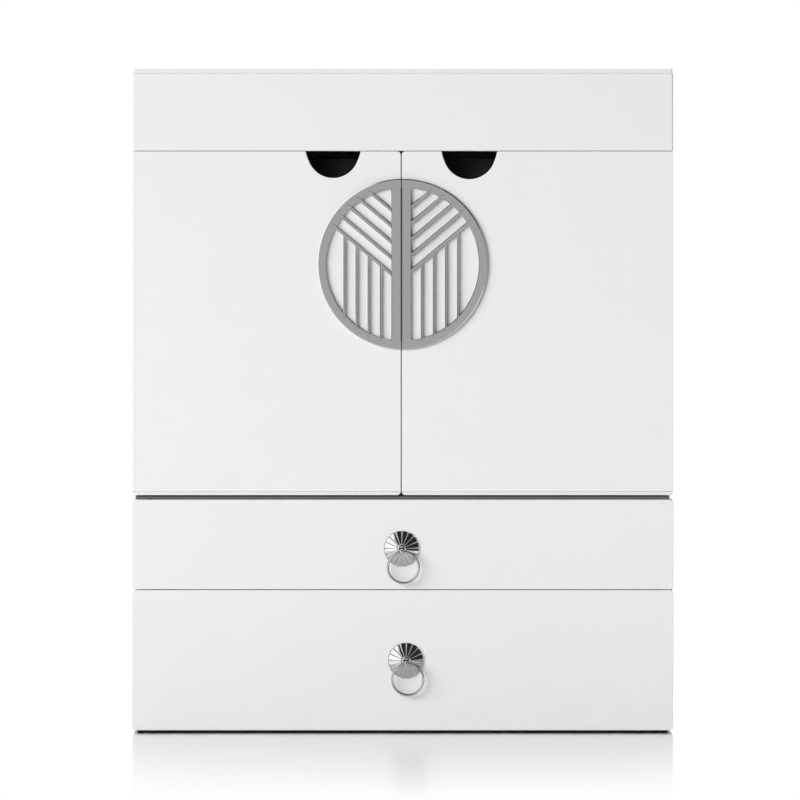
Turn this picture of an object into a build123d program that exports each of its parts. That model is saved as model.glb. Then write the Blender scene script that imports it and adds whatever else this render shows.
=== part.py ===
from build123d import *
from math import atan2, degrees, radians, sin, sqrt, tan
import os

os.makedirs("parts", exist_ok=True)

# Driving sizes, in millimetres. X is to the right, the front faces -Y and +Z is up.
# The origin is the middle of the footprint, on the surface that the cabinet stands on.
width = 300.0
depth = 210.0

base_thickness = 1.2
base_inset = 3.0
lower_front_height = 77.7
upper_front_height = 49.7
drawer_seam = 0.4
groove_height = 2.5
groove_inset = 2.0
door_height = 190.5
lid_height = 45.4
lid_seam = 0.3

wall_thickness = 8.0
front_thickness = 10.0
board_thickness = 6.0
lining_thickness = 1.5
wrap_radius = 1.5
corner_radius = 2.0
hinge_corner_radius = 2.5
inner_corner_radius = 0.6
clearance = 0.3
fit_clearance = 0.05

# Heights, from the base up.
lower_front_bottom = base_thickness
lower_front_top = lower_front_bottom + lower_front_height
upper_front_bottom = lower_front_top + drawer_seam
upper_front_top = upper_front_bottom + upper_front_height
door_bottom = upper_front_top + groove_height
door_top = door_bottom + door_height
lid_bottom = door_top + lid_seam
lid_top = lid_bottom + lid_height

# Places across the width and along the depth.
front_face = -depth / 2
back_face = depth / 2
front_back = front_face + front_thickness
inner_half_width = width / 2 - wall_thickness
inner_back = back_face - wall_thickness
lined_half_width = inner_half_width - lining_thickness
lined_back = inner_back - lining_thickness


def front_plane(y):
    """An upright plane that faces the user, whose sketch coordinates are X and Z."""
    return Plane(origin=(0, y, 0), x_dir=(1, 0, 0), z_dir=(0, -1, 0))


def back_plane(y):
    """An upright plane that faces the rear, whose sketch coordinates are -X and Z."""
    return Plane(origin=(0, y, 0), x_dir=(-1, 0, 0), z_dir=(0, 1, 0))


def board(x_span, y_span, z_span, mode=Mode.ADD):
    """Add one straight board to the active part, between the two limits of each axis."""
    size = [high - low for low, high in (x_span, y_span, z_span)]
    with Locations((x_span[0], y_span[0], z_span[0])):
        Box(*size, align=(Align.MIN, Align.MIN, Align.MIN), mode=mode)


def save(piece, name):
    """Label a finished piece and write it as one STEP file."""
    piece.part.label = name
    export_step(piece.part, f"parts/{name}.step")


sides = {"left": -1, "right": 1}

# Hinges. Small butt hinges of rolled sheet, with three knuckles on a pin. A hinge's plane has its
# origin at the middle of the pin, its z axis along the pin and its x axis across the leaves. The
# moving leaf lies on the plane's -y side and the fixed leaf on its +y side.
hinge_length = 24.0
hinge_middle_knuckle = 9.0
hinge_leaf_width = 6.5
hinge_gap = 1.2
knuckle_radius = 1.5
hinge_pin_radius = 0.6
leaf_thickness = (hinge_gap - clearance) / 2
screw_head_radius = 1.3
screw_shank_radius = 0.7
screw_length = 6.0
screw_pitch = 14.0

knuckle_gap_half = hinge_middle_knuckle / 2 + clearance / 2
moving_knuckles = [(-hinge_middle_knuckle / 2 + clearance / 2, hinge_middle_knuckle / 2 - clearance / 2)]
fixed_knuckles = [(-hinge_length / 2, -knuckle_gap_half), (knuckle_gap_half, hinge_length / 2)]
leaf_start = knuckle_radius + clearance
leaf_middle = (leaf_start + hinge_leaf_width) / 2


def hinge_leaves(hinge_planes, leaf_side, knuckles):
    """One leaf for each hinge, on leaf_side of its plane's y axis, with its knuckles on the pin."""
    plate_y = leaf_side * (hinge_gap - leaf_thickness) / 2
    with BuildPart() as leaves:
        for plane in hinge_planes:
            for low, high in knuckles:
                with BuildSketch(plane.offset(low)):
                    Circle(knuckle_radius)
                    with Locations((leaf_start / 2, plate_y)):
                        Rectangle(leaf_start, leaf_thickness)
                    Circle(hinge_pin_radius + fit_clearance, mode=Mode.SUBTRACT)
                extrude(amount=high - low)
            with BuildSketch(plane.offset(-hinge_length / 2)):
                with Locations((leaf_middle, plate_y)):
                    Rectangle(hinge_leaf_width - leaf_start, leaf_thickness)
            extrude(amount=hinge_length)
            for seat in screw_seats([plane], leaf_side):
                with BuildSketch(seat.offset(-leaf_thickness)):
                    Circle(screw_head_radius + fit_clearance)
                extrude(amount=leaf_thickness, mode=Mode.SUBTRACT)
    return leaves


def screw_seats(hinge_planes, leaf_side):
    """Planes on the board under a leaf, one at each screw, facing into the board."""
    seats = []
    for plane in hinge_planes:
        for along in (-screw_pitch / 2, screw_pitch / 2):
            origin = plane.from_local_coords((leaf_middle, leaf_side * hinge_gap / 2, along))
            seats.append(Plane(origin=origin, x_dir=plane.x_dir, z_dir=plane.y_dir * leaf_side))
    return seats


def hinge_screws(hinge_planes, leaf_side):
    """Flat-headed screws, flush in the leaves."""
    with BuildPart() as screws:
        for seat in screw_seats(hinge_planes, leaf_side):
            with BuildSketch(seat.offset(-leaf_thickness)):
                Circle(screw_head_radius)
            extrude(amount=leaf_thickness)
            with BuildSketch(seat):
                Circle(screw_shank_radius)
            extrude(amount=screw_length)
    return screws


def hinge_pins(hinge_planes):
    """The pins that the knuckles turn on."""
    with BuildPart() as pins:
        for plane in hinge_planes:
            with BuildSketch(plane.offset(-hinge_length / 2)):
                Circle(hinge_pin_radius)
            extrude(amount=hinge_length)
    return pins


def cut_hinge_seats(hinge_planes, leaf_side):
    """Cut the active part's groove for the knuckles and its holes for the screws."""
    for plane in hinge_planes:
        with BuildSketch(plane.offset(-hinge_length / 2 - clearance)) as groove:
            Circle(knuckle_radius + clearance)
        extrude(groove.sketch, amount=hinge_length + 2 * clearance, mode=Mode.SUBTRACT)
    for seat in screw_seats(hinge_planes, leaf_side):
        with BuildSketch(seat) as hole:
            Circle(screw_shank_radius + fit_clearance)
        extrude(hole.sketch, amount=screw_length + clearance, mode=Mode.SUBTRACT)


# The doors turn about their outer rear corners and the lid about the rear edge of the case.
door_outer_inset = 0.3
door_hinge_inset = 30.0
door_axis_x = width / 2 - door_outer_inset - knuckle_radius
door_axis_y = front_back + hinge_gap / 2
upper_case_front = front_back + hinge_gap
door_hinge_heights = (door_bottom + door_hinge_inset, door_top - door_hinge_inset)
door_hinges = {}
for name, side in sides.items():
    door_hinges[name] = [
        Plane(origin=(side * door_axis_x, door_axis_y, height), x_dir=(-side, 0, 0), z_dir=(0, 0, -side))
        for height in door_hinge_heights
    ]

lid_hinge_spacing = 170.0
upper_case_top = lid_bottom - hinge_gap
lid_axis_y = back_face - knuckle_radius
lid_axis_z = lid_bottom - hinge_gap / 2
lid_hinges = [
    Plane(origin=(x, lid_axis_y, lid_axis_z), x_dir=(0, -1, 0), z_dir=(1, 0, 0))
    for x in (-lid_hinge_spacing / 2, lid_hinge_spacing / 2)
]

# Base board. Flock-covered board that the whole cabinet rests on, set back from the fronts.
with BuildPart() as base_board:
    board(
        (-width / 2 + base_inset, width / 2 - base_inset),
        (front_face + base_inset, back_face - base_inset),
        (0, base_thickness),
    )
    fillet(base_board.edges().filter_by(Axis.Z), corner_radius)
save(base_board, "base_board")

# Lower case. Wrapped boards glued into a box with two drawer bays, open at the front.
lower_case_front = front_back + drawer_seam
lower_case_top = upper_front_top + clearance
case_boards_y = (lower_case_front, inner_back)
drawer_split = (lower_front_top + upper_front_bottom) / 2
lower_bay = (base_thickness + board_thickness, drawer_split - board_thickness / 2)
upper_bay = (drawer_split + board_thickness / 2, lower_case_top - board_thickness)


def case_wall(side, front_edge, z_span):
    """Extrude an upright wall at one side of a case in the active part, rounded at its rear corner."""
    outer = side * width / 2
    inner = side * inner_half_width
    board(sorted((outer, inner)), (front_edge, back_face), z_span)
    rear_edges = edges().filter_by(Axis.Z).group_by(Axis.Y)[-1].sort_by(Axis.X)
    fillet(rear_edges[0 if side < 0 else -1], corner_radius)


for name, side in sides.items():
    with BuildPart() as lower_case_wall:
        case_wall(side, lower_case_front, (base_thickness, lower_case_top))
    save(lower_case_wall, f"lower_case_{name}_wall")

with BuildPart() as lower_case_back:
    board((-inner_half_width, inner_half_width), (inner_back, back_face), (base_thickness, lower_case_top))
    fillet(lower_case_back.edges().filter_by(Axis.Z).group_by(Axis.Y)[-1], inner_corner_radius)
save(lower_case_back, "lower_case_back")

with BuildPart() as lower_case_floor:
    board((-inner_half_width, inner_half_width), case_boards_y, (base_thickness, lower_bay[0]))
save(lower_case_floor, "lower_case_floor")

with BuildPart() as drawer_divider:
    board((-inner_half_width, inner_half_width), case_boards_y, (lower_bay[1], upper_bay[0]))
save(drawer_divider, "drawer_divider")

with BuildPart() as lower_case_top_board:
    board((-inner_half_width, inner_half_width), case_boards_y, (upper_bay[1], lower_case_top))
save(lower_case_top_board, "lower_case_top")

# Spacer board. Dark, recessed board between the two cases, seen as a groove all round.
upper_case_bottom = door_bottom - clearance
with BuildPart() as spacer_board:
    board(
        (-width / 2 + groove_inset, width / 2 - groove_inset),
        (front_face + groove_inset, back_face - groove_inset),
        (lower_case_top, upper_case_bottom),
    )
save(spacer_board, "spacer_board")

# Upper case. Walls and back that carry the doors and the lid, with a floor board between them.
upper_floor_top = upper_case_bottom + wall_thickness
shelf_pin_radius = 2.5
shelf_pin_depth = 6.0
shelf_pin_reach = 7.0
shelf_pin_setback = 35.0
shelf_height = 72.0
tray_floor_thickness = 8.0
tray_depth = 27.0
tray_floor_top = upper_case_top - tray_depth
tray_floor_bottom = tray_floor_top - tray_floor_thickness
shelf_bottom = upper_floor_top + lining_thickness + shelf_height
shelf_pin_height = shelf_bottom - shelf_pin_radius - fit_clearance
shelf_pin_places = [
    (upper_case_front + shelf_pin_setback, shelf_pin_height),
    (lined_back - shelf_pin_setback, shelf_pin_height),
]


def shelf_pin_plane(side, x):
    """A plane across the cabinet at x, facing outwards on one side, with sketch axes Y and Z."""
    return Plane(origin=(side * x, 0, 0), x_dir=(0, side, 0), z_dir=(side, 0, 0))


def shelf_pin_holes(side, start, amount):
    """Cut the shelf pins' holes in the active part, outwards from start."""
    with BuildSketch(shelf_pin_plane(side, start)) as holes:
        with Locations([(side * y, z) for y, z in shelf_pin_places]):
            Circle(shelf_pin_radius + fit_clearance)
    extrude(holes.sketch, amount=amount, mode=Mode.SUBTRACT)


for name, side in sides.items():
    with BuildPart() as upper_case_wall:
        case_wall(side, upper_case_front, (upper_case_bottom, upper_case_top))
        rear_top = upper_case_wall.edges().filter_by(Axis.X).group_by(Axis.Z)[-1].sort_by(Axis.Y)[-1]
        fillet(rear_top, hinge_corner_radius)
        front_edges = upper_case_wall.edges().filter_by(Axis.Z).group_by(Axis.Y)[0].sort_by(Axis.X)
        fillet(front_edges[0 if side < 0 else -1], hinge_corner_radius)
        cut_hinge_seats(door_hinges[name], 1)
        shelf_pin_holes(side, inner_half_width, shelf_pin_depth)
    save(upper_case_wall, f"upper_case_{name}_wall")

with BuildPart() as upper_case_back:
    board((-inner_half_width, inner_half_width), (inner_back, back_face), (upper_case_bottom, upper_case_top))
    rear_top = upper_case_back.edges().filter_by(Axis.X).group_by(Axis.Z)[-1].sort_by(Axis.Y)[-1]
    fillet(rear_top, hinge_corner_radius)
    cut_hinge_seats(lid_hinges, 1)
save(upper_case_back, "upper_case_back")

with BuildPart() as upper_case_floor:
    board(
        (-inner_half_width, inner_half_width),
        (upper_case_front, inner_back),
        (upper_case_bottom, upper_floor_top),
    )
save(upper_case_floor, "upper_case_floor")

# Linings. Black flocked card glued to the inside of the upper case.
for name, side in sides.items():
    with BuildPart() as side_lining:
        lining_x = sorted((side * lined_half_width, side * inner_half_width))
        board(lining_x, (upper_case_front, inner_back), (upper_floor_top, upper_case_top))
        shelf_pin_holes(side, lined_half_width, lining_thickness)
    save(side_lining, f"{name}_lining")

with BuildPart() as back_lining:
    board((-lined_half_width, lined_half_width), (lined_back, inner_back), (upper_floor_top, upper_case_top))
save(back_lining, "back_lining")

with BuildPart() as floor_lining:
    board(
        (-lined_half_width, lined_half_width),
        (upper_case_front, lined_back),
        (upper_floor_top, upper_floor_top + lining_thickness),
    )
save(floor_lining, "floor_lining")

# Shelf. Loose board inside the doors, on four steel pins.
shelf_setback = 8.0
with BuildPart() as shelf:
    board(
        (-lined_half_width + clearance, lined_half_width - clearance),
        (upper_case_front + shelf_setback, lined_back - clearance),
        (shelf_bottom, shelf_bottom + board_thickness),
    )
    fillet(shelf.edges().filter_by(Axis.X).group_by(Axis.Y)[0], wrap_radius)
save(shelf, "shelf")

with BuildPart() as shelf_pins:
    for side in sides.values():
        with BuildSketch(shelf_pin_plane(side, lined_half_width - shelf_pin_reach)):
            with Locations([(side * y, z) for y, z in shelf_pin_places]):
                Circle(shelf_pin_radius)
        extrude(amount=shelf_pin_reach + lining_thickness + shelf_pin_depth - clearance)
save(shelf_pins, "shelf_pins")

# Tray. Open-topped compartments under the lid. Its front stands back from the doors and leaves
# room for the fingertips that reach through the notches.
door_seam_x = -0.65
finger_room = 17.0
tray_front_thickness = 4.0
tray_front_drop = 2.0
tray_divider_thickness = 3.0
tray_divider_drop = 6.0
tray_divider_count = 2
tray_front_y = front_back + finger_room
magnet_radius = 3.0
magnet_thickness = 2.5
magnet_offset = 14.0
striker_thickness = 1.5
magnet_height = (tray_floor_bottom + tray_floor_top) / 2
magnet_places = {name: (door_seam_x + side * magnet_offset, magnet_height) for name, side in sides.items()}

with BuildPart() as tray_floor:
    board(
        (-lined_half_width, lined_half_width),
        (upper_case_front, lined_back),
        (tray_floor_bottom, tray_floor_top),
    )
    with BuildSketch(back_plane(upper_case_front)):
        with Locations([(-x, z) for x, z in magnet_places.values()]):
            Circle(magnet_radius + fit_clearance)
    extrude(amount=striker_thickness, mode=Mode.SUBTRACT)
save(tray_floor, "tray_floor")

with BuildPart() as striker_plates:
    with BuildSketch(back_plane(upper_case_front)):
        with Locations([(-x, z) for x, z in magnet_places.values()]):
            Circle(magnet_radius)
    extrude(amount=striker_thickness)
save(striker_plates, "striker_plates")

with BuildPart() as tray_front:
    board(
        (-lined_half_width, lined_half_width),
        (tray_front_y, tray_front_y + tray_front_thickness),
        (tray_floor_top, upper_case_top - tray_front_drop),
    )
save(tray_front, "tray_front")

tray_open_width = 2 * lined_half_width - tray_divider_count * tray_divider_thickness
tray_compartment = tray_open_width / (tray_divider_count + 1)
with BuildPart() as tray_dividers:
    for index in range(tray_divider_count):
        divider_x = -lined_half_width + (index + 1) * tray_compartment + index * tray_divider_thickness
        board(
            (divider_x, divider_x + tray_divider_thickness),
            (tray_front_y + tray_front_thickness, lined_back),
            (tray_floor_top, upper_case_top - tray_divider_drop),
        )
save(tray_dividers, "tray_dividers")

# Lid bumpers. Small felt discs on the walls, which the closed lid comes down on.
bumper_radius = 2.8
bumper_setback = 8.0
with BuildPart() as lid_bumpers:
    with BuildSketch(Plane.XY.offset(upper_case_top)):
        bumper_x = width / 2 - wall_thickness / 2
        bumper_y = upper_case_front + bumper_setback
        with Locations((-bumper_x, bumper_y), (bumper_x, bumper_y)):
            Circle(bumper_radius)
    extrude(amount=hinge_gap - clearance)
save(lid_bumpers, "lid_bumpers")

# Hinge hardware on the case.
all_door_hinges = door_hinges["left"] + door_hinges["right"]
save(hinge_leaves(all_door_hinges, 1, fixed_knuckles), "door_hinge_case_leaves")
save(hinge_pins(all_door_hinges), "door_hinge_pins")
save(hinge_leaves(lid_hinges, 1, fixed_knuckles), "lid_hinge_case_leaves")
save(hinge_pins(lid_hinges), "lid_hinge_pins")
save(hinge_screws(all_door_hinges + lid_hinges, 1), "case_hinge_screws")

# Lid. Frame of four wrapped walls with a thin wrapped panel on top, a lining board and a mirror.
lid_top_thickness = 2.5
lid_top_inset = 0.4
lid_top_radius = 1.2
mirror_width = 220.0
mirror_depth = 150.0
mirror_thickness = 3.0
mirror_radius = 4.0
lid_panel_bottom = lid_top - lid_top_thickness
lid_lining_bottom = lid_panel_bottom - lining_thickness

with BuildPart() as lid_walls:
    board((-width / 2, width / 2), (front_face, back_face), (lid_bottom, lid_panel_bottom))
    rear_bottom = lid_walls.edges().filter_by(Axis.X).group_by(Axis.Z)[0].sort_by(Axis.Y)[-1]
    fillet(rear_bottom, hinge_corner_radius)
    fillet(lid_walls.edges().filter_by(Axis.Z), corner_radius)
    board(
        (-inner_half_width, inner_half_width),
        (front_face + wall_thickness, inner_back),
        (lid_bottom, lid_panel_bottom),
        Mode.SUBTRACT,
    )
    cut_hinge_seats(lid_hinges, -1)
save(lid_walls, "lid_walls")

with BuildPart() as lid_top_panel:
    board(
        (-width / 2 + lid_top_inset, width / 2 - lid_top_inset),
        (front_face + lid_top_inset, back_face - lid_top_inset),
        (lid_panel_bottom, lid_top),
    )
    fillet(lid_top_panel.edges().filter_by(Axis.Z), corner_radius)
    fillet(lid_top_panel.faces().sort_by(Axis.Z)[-1].edges(), lid_top_radius)
save(lid_top_panel, "lid_top_panel")

with BuildPart() as lid_lining:
    board(
        (-inner_half_width, inner_half_width),
        (front_face + wall_thickness, inner_back),
        (lid_lining_bottom, lid_panel_bottom),
    )
save(lid_lining, "lid_lining")

with BuildPart() as lid_mirror:
    with BuildSketch(Plane.XY.offset(lid_lining_bottom - mirror_thickness)):
        RectangleRounded(mirror_width, mirror_depth, mirror_radius)
    extrude(amount=mirror_thickness)
save(lid_mirror, "lid_mirror")

save(hinge_leaves(lid_hinges, -1, moving_knuckles), "lid_hinge_leaves")
save(hinge_screws(lid_hinges, -1), "lid_hinge_screws")

# Badge. Round pierced plate in two halves, one on each door: a rim, a spine along the seam, bars
# that slope down to the spine, and upright bars under the lowest of them. The bars lie over the
# rim and stand a little prouder. The circle is not quite centred on the seam, and the sloping
# bars of the left half are a little lower than those of the right half.
badge_radius = 47.2
badge_centre_z = 259.5
badge_shift = 0.65
badge_thickness = 2.0
badge_bar_thickness = 2.2
badge_seam_half = 0.25
badge_rim = 4.9
badge_spine = 5.3
badge_slope = 40.0
badge_slope_bar = 1.8
badge_slope_count = 5
badge_slope_pitch = 8.85
badge_slope_lowest = {"left": -5.5, "right": -3.6}
badge_upright_bar = 1.25
badge_upright_count = 4
badge_upright_pitch = 6.7
badge_upright_first = 11.35
stud_radius = 1.0
stud_length = 4.0
stud_inset = 6.0
spine_edge = badge_seam_half + badge_spine


def badge_plane(y, facing=-1):
    """An upright plane at y whose origin is on the seam, as high as the badge's centre."""
    return Plane(origin=(door_seam_x, y, badge_centre_z), x_dir=(-facing, 0, 0), z_dir=(0, facing, 0))


def keep_one_side(side, edge):
    """Trim the active sketch to what lies outwards of edge on one side of the seam."""
    with Locations((side * edge, 0)):
        outwards = Align.MIN if side > 0 else Align.MAX
        Rectangle(2 * badge_radius, 2 * badge_radius, align=(outwards, Align.CENTER), mode=Mode.INTERSECT)


def badge_studs(side, mode, radius, length):
    """Add or cut three studs behind the plate: near each end of the spine and halfway up the rim."""
    spine_x = side * (badge_seam_half + badge_spine / 2)
    rim_x = badge_shift + side * (badge_radius - badge_rim / 2)
    places = [(spine_x, badge_radius - stud_inset), (spine_x, stud_inset - badge_radius), (rim_x, 0)]
    with BuildSketch(badge_plane(front_face, 1)) as studs:
        with Locations([(-x, z) for x, z in places]):
            Circle(radius)
    extrude(studs.sketch, amount=length, mode=mode)


for name, side in sides.items():
    with BuildPart() as badge:
        with BuildSketch(badge_plane(front_face)):
            with Locations((badge_shift, 0)):
                Circle(badge_radius)
                Circle(badge_radius - badge_rim, mode=Mode.SUBTRACT)
            with Locations((side * spine_edge, 0)):
                inwards = Align.MAX if side > 0 else Align.MIN
                Rectangle(badge_spine, 2 * badge_radius, align=(inwards, Align.CENTER))
            with Locations((badge_shift, 0)):
                Circle(badge_radius, mode=Mode.INTERSECT)
            keep_one_side(side, badge_seam_half)
        extrude(amount=badge_thickness)
        slope_lowest = badge_slope_lowest[name]
        with BuildSketch(badge_plane(front_face)):
            for index in range(badge_slope_count):
                with Locations((side * spine_edge, slope_lowest + index * badge_slope_pitch)):
                    Rectangle(2 * badge_radius, badge_slope_bar, rotation=side * badge_slope)
            for index in range(badge_upright_count):
                bar_x = badge_upright_first + index * badge_upright_pitch
                bar_top = slope_lowest + (bar_x - spine_edge) * tan(radians(badge_slope))
                with Locations((side * bar_x, bar_top)):
                    Rectangle(badge_upright_bar, 2 * badge_radius, align=(Align.CENTER, Align.MAX))
            with Locations((badge_shift, 0)):
                Circle(badge_radius - badge_rim / 2, mode=Mode.INTERSECT)
            keep_one_side(side, spine_edge)
        extrude(amount=badge_bar_thickness)
        badge_studs(side, Mode.ADD, stud_radius, stud_length)
    save(badge, f"{name}_badge")

# Doors. Overlay panels with a half-round finger notch in the top edge, a flocked lining on the
# back and a magnet under the lining.
door_seam_half = 0.2
notch_radius = 14.3
notch_drop = 0.5
notch_offset = 37.75
door_lining_thickness = 0.7
door_lining_inset = 3.0
door_lining_hinge_inset = hinge_leaf_width + 5.0
notch_lining_margin = 2.0


def cut_notch(side, radius, y, amount):
    """Cut the finger notch out of the active part."""
    with BuildSketch(front_plane(y)) as notch:
        with Locations((door_seam_x + side * notch_offset, door_top - notch_drop)):
            Circle(radius)
    extrude(notch.sketch, amount=amount, mode=Mode.SUBTRACT)


for name, side in sides.items():
    door_inner_x = door_seam_x + side * door_seam_half
    door_outer_x = side * (width / 2 - door_outer_inset)
    with BuildPart() as door_panel:
        board(sorted((door_inner_x, door_outer_x)), (front_face, front_back), (door_bottom, door_top))
        fillet(door_panel.edges().filter_by(Axis.Y), corner_radius)
        fillet(door_panel.faces().sort_by(Axis.Y)[0].edges(), wrap_radius)
        rear_edges = door_panel.edges().filter_by(Axis.Z).group_by(Axis.Y)[-1].sort_by(Axis.X)
        fillet(rear_edges[0 if side < 0 else -1], hinge_corner_radius)
        cut_notch(side, notch_radius, front_back, front_thickness)
        badge_studs(side, Mode.SUBTRACT, stud_radius + fit_clearance, stud_length + clearance)
        cut_hinge_seats(door_hinges[name], -1)
        with BuildSketch(front_plane(front_back)):
            with Locations(magnet_places[name]):
                Circle(magnet_radius + fit_clearance)
        extrude(amount=magnet_thickness, mode=Mode.SUBTRACT)
    save(door_panel, f"{name}_door_panel")

    with BuildPart() as door_magnet:
        with BuildSketch(front_plane(front_back)):
            with Locations(magnet_places[name]):
                Circle(magnet_radius)
        extrude(amount=magnet_thickness)
    save(door_magnet, f"{name}_door_magnet")

    with BuildPart() as door_lining:
        lining_inner_x = door_inner_x + side * door_lining_inset
        lining_outer_x = door_outer_x - side * door_lining_hinge_inset
        board(
            sorted((lining_inner_x, lining_outer_x)),
            (front_back, front_back + door_lining_thickness),
            (door_bottom + door_lining_inset, door_top - door_lining_inset),
        )
        lining_back = front_back + door_lining_thickness
        cut_notch(side, notch_radius + notch_lining_margin, lining_back, door_lining_thickness)
    save(door_lining, f"{name}_door_lining")

    save(hinge_leaves(door_hinges[name], -1, moving_knuckles), f"{name}_door_hinge_leaves")
    save(hinge_screws(door_hinges[name], -1), f"{name}_door_hinge_screws")

# Drawers. An overlay front on a box of thin boards that slides on the board below it.
drawer_wall = 5.0
drawer_floor = 3.0
drawer_side_clearance = 0.8
drawer_top_clearance = 1.5
drawer_rear_clearance = 2.0
drawer_half_width = inner_half_width - drawer_side_clearance
drawer_rear = inner_back - drawer_rear_clearance

# Ring pulls. A fluted rosette, an eye on a threaded stem with a nut inside the drawer, and a ring
# that hangs in the eye a little to one side. Each pull's rise is from the bottom of its front.
stem_radius = 1.5
stem_end = 1.0
nut_width = 5.5
nut_thickness = 2.4
rosette_radius = 10.0
rosette_height = 2.8
rosette_rim_height = 0.6
petal_count = 16
flute_depth = 0.5
flute_inner_radius = 0.25
flute_outer_radius = 0.9
boss_radius = 2.4
boss_height = 3.4
eye_height = 4.6
eye_drop = 1.75
eye_radius = 1.9
eye_width = 2.0
eye_hole_radius = 0.95
ring_radius = 8.6
ring_wire_radius = 0.65
ring_side_shift = 1.0
upper_pull_x = -0.5
lower_pull_x = 1.9
upper_pull_rise = 22.6
lower_pull_rise = 38.7

drawers = {
    "upper": {
        "front": (upper_front_bottom, upper_front_top),
        "bay": upper_bay,
        "pull": (upper_pull_x, upper_front_bottom + upper_pull_rise),
    },
    "lower": {
        "front": (lower_front_bottom, lower_front_top),
        "bay": lower_bay,
        "pull": (lower_pull_x, lower_front_bottom + lower_pull_rise),
    },
}

for name, drawer in drawers.items():
    front_low, front_high = drawer["front"]
    box_bottom = drawer["bay"][0] + clearance
    box_top = drawer["bay"][1] - drawer_top_clearance
    pull_x, pull_z = drawer["pull"]
    pull_plane = Plane(origin=(pull_x, front_face, pull_z), x_dir=(1, 0, 0), z_dir=(0, -1, 0))
    inner_front_back = front_back + drawer_wall

    with BuildPart() as drawer_front:
        board((-width / 2, width / 2), (front_face, front_back), (front_low, front_high))
        fillet(drawer_front.edges().filter_by(Axis.Y), corner_radius)
        fillet(drawer_front.faces().sort_by(Axis.Y)[0].edges(), wrap_radius)
        with BuildSketch(pull_plane):
            Circle(stem_radius + fit_clearance)
        extrude(amount=-front_thickness, mode=Mode.SUBTRACT)
    save(drawer_front, f"{name}_drawer_front")

    with BuildPart() as drawer_box:
        board(
            (-drawer_half_width, drawer_half_width),
            (front_back, drawer_rear),
            (box_bottom + drawer_floor, box_top),
        )
        board(
            (drawer_wall - drawer_half_width, drawer_half_width - drawer_wall),
            (inner_front_back, drawer_rear - drawer_wall),
            (box_bottom + drawer_floor, box_top),
            Mode.SUBTRACT,
        )
        with BuildSketch(pull_plane):
            Circle(stem_radius + fit_clearance)
        extrude(amount=-front_thickness - drawer_wall, mode=Mode.SUBTRACT)
    save(drawer_box, f"{name}_drawer_box")

    with BuildPart() as drawer_bottom:
        board(
            (-drawer_half_width, drawer_half_width),
            (front_back, drawer_rear),
            (box_bottom, box_bottom + drawer_floor),
        )
    save(drawer_bottom, f"{name}_drawer_bottom")

    petal_share = sin(radians(180 / petal_count))
    petal_radius = rosette_radius * petal_share / (1 + petal_share)
    rosette_slope = degrees(atan2(rosette_height - rosette_rim_height, rosette_radius - boss_radius))
    with BuildPart(pull_plane) as rosette:
        with BuildSketch(pull_plane):
            Circle(rosette_radius - petal_radius)
            with PolarLocations(rosette_radius - petal_radius, petal_count):
                Circle(petal_radius)
            Circle(boss_radius + fit_clearance, mode=Mode.SUBTRACT)
        extrude(amount=rosette_height)
        with BuildSketch(Plane(origin=pull_plane.origin, x_dir=(1, 0, 0), z_dir=(0, 0, 1))):
            with BuildLine():
                Polyline((0, 0), (rosette_radius, 0), (rosette_radius, -rosette_rim_height))
                ThreePointArc(
                    (rosette_radius, -rosette_rim_height),
                    (rosette_radius / 2, -(rosette_height + rosette_rim_height) / 2 - flute_depth / 2),
                    (0, -rosette_height),
                )
                Line((0, -rosette_height), (0, 0))
            make_face()
        revolve(axis=Axis(pull_plane.origin, pull_plane.z_dir), mode=Mode.INTERSECT)
        with Locations((0, 0, rosette_height + flute_inner_radius)):
            with PolarLocations(boss_radius, petal_count, start_angle=180 / petal_count):
                Cone(
                    flute_inner_radius,
                    flute_outer_radius,
                    rosette_radius,
                    rotation=(0, 90 + rosette_slope, 0),
                    align=(Align.CENTER, Align.CENTER, Align.MIN),
                    mode=Mode.SUBTRACT,
                )
    save(rosette, f"{name}_pull_rosette")

    with BuildPart(pull_plane) as pull_eye:
        with BuildSketch(pull_plane):
            Circle(boss_radius)
        extrude(amount=boss_height)
        fillet(pull_eye.faces().sort_by(Axis.Y)[0].edges(), inner_corner_radius)
        with Locations((0, -eye_drop, eye_height)):
            Cylinder(eye_radius, eye_width, rotation=(0, 90, 0))
            Cylinder(eye_hole_radius, eye_width, rotation=(0, 90, 0), mode=Mode.SUBTRACT)
        with BuildSketch(pull_plane):
            Circle(stem_radius)
        extrude(amount=-front_thickness - drawer_wall - nut_thickness - stem_end)
    save(pull_eye, f"{name}_pull_eye")

    with BuildPart() as pull_nut:
        with BuildSketch(pull_plane.offset(-front_thickness - drawer_wall)):
            RegularPolygon(nut_width / 2, 6, major_radius=False)
            Circle(stem_radius + fit_clearance, mode=Mode.SUBTRACT)
        extrude(amount=-nut_thickness)
    save(pull_nut, f"{name}_pull_nut")

    ring_drop = sqrt(ring_radius**2 - ring_side_shift**2)
    ring_plane = Plane(
        origin=(pull_x + ring_side_shift, front_face - eye_height, pull_z - eye_drop - ring_drop),
        x_dir=(1, 0, 0),
        z_dir=(0, -1, 0),
    )
    with BuildPart() as pull_ring:
        with BuildSketch(Plane(origin=ring_plane.origin, x_dir=(1, 0, 0), z_dir=(0, 0, 1))):
            with Locations((ring_radius, 0)):
                Circle(ring_wire_radius)
        revolve(axis=Axis(ring_plane.origin, ring_plane.z_dir))
    save(pull_ring, f"{name}_pull_ring")
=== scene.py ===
from math import atan2, copysign, cos, hypot, pi, radians, sin, sqrt, tan, tau

import bmesh
import bpy
from mathutils import Matrix, Vector


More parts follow.
